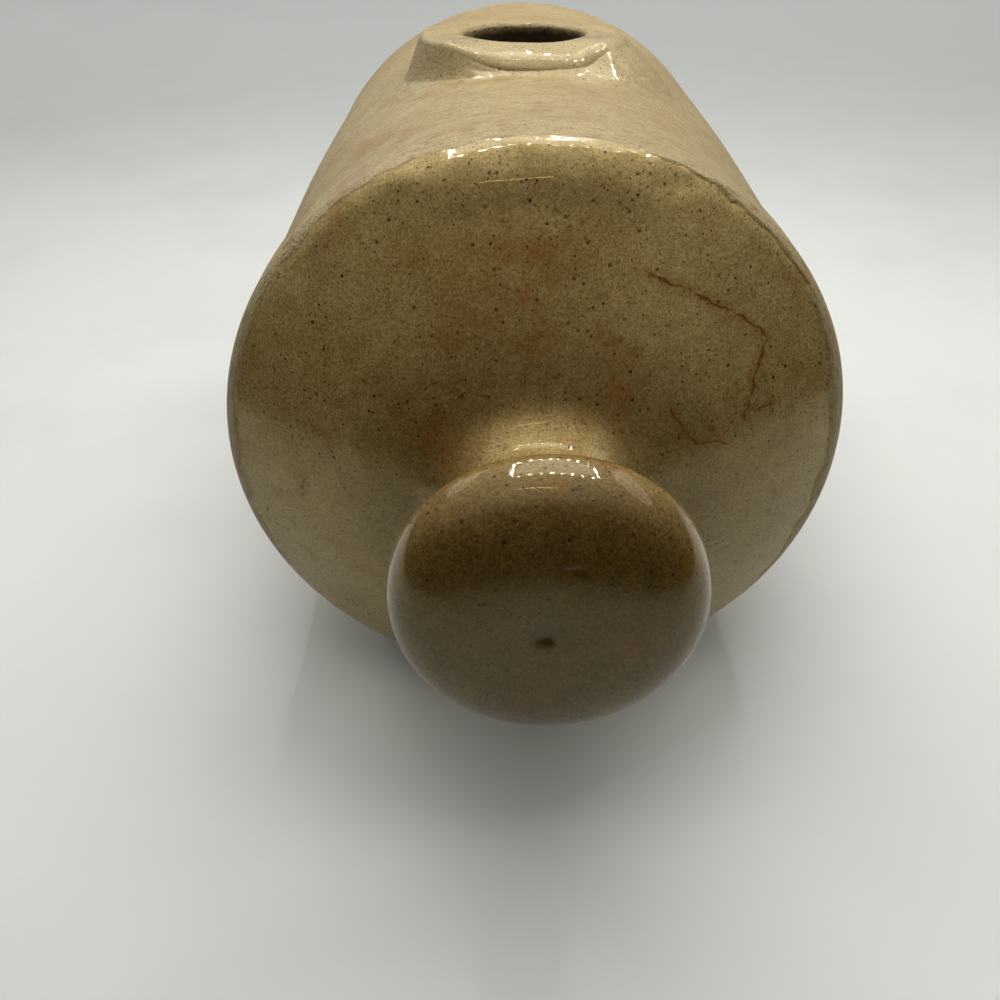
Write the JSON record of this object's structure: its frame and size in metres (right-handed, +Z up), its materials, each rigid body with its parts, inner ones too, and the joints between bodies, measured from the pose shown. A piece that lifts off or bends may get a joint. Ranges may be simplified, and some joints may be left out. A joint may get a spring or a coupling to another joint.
{
  "type": "stoneware hot water bottle",
  "caption": "Round glazed stoneware bed-warming bottle that lies on its side, with a domed shoulder, a carrying knob and a raised filler mouth closed by a recessed screw stopper.",
  "frame": {"origin": "centre of the part's plan box, on the flat that the bottle lies on", "axes": "+Z up through the filler mouth, +Y along the barrel from the knob to the rear end, +X to the right seen from the knob"},
  "size_m": [0.1612, 0.262, 0.1616],
  "materials": {
    "barrel_glaze": "light buff salt glaze, satin",
    "shoulder_glaze": "tan glaze with iron specks, glossy",
    "stopper_glaze": "brown glaze, glossy",
    "washer_rubber": "black rubber, matte"
  },
  "bodies": {
    "bottle": {"barrel": "barrel_glaze", "rear_end": "barrel_glaze", "shoulder": "shoulder_glaze", "knob": "shoulder_glaze", "filler_collar": "barrel_glaze"},
    "washer": {"sealing_washer": "washer_rubber"},
    "stopper": {"stopper_plug": "stopper_glaze", "stopper_grip": "stopper_glaze"}
  },
  "joints": [
    {"name": "stopper_lift", "type": "slide", "parent": "bottle", "child": "washer", "axis": [0, 0, 1], "range_m": [0, 0.036]},
    {"name": "stopper_turn", "type": "hinge", "parent": "washer", "child": "stopper", "pos_m": [0, 0.032, 0.14263], "axis": [0, 0, 1], "range_deg": [0, 2160]}
  ],
  "couplings": [
    {"joint": "stopper_lift", "follows": "stopper_turn", "m_per_rad": 0.00095492}
  ]
}
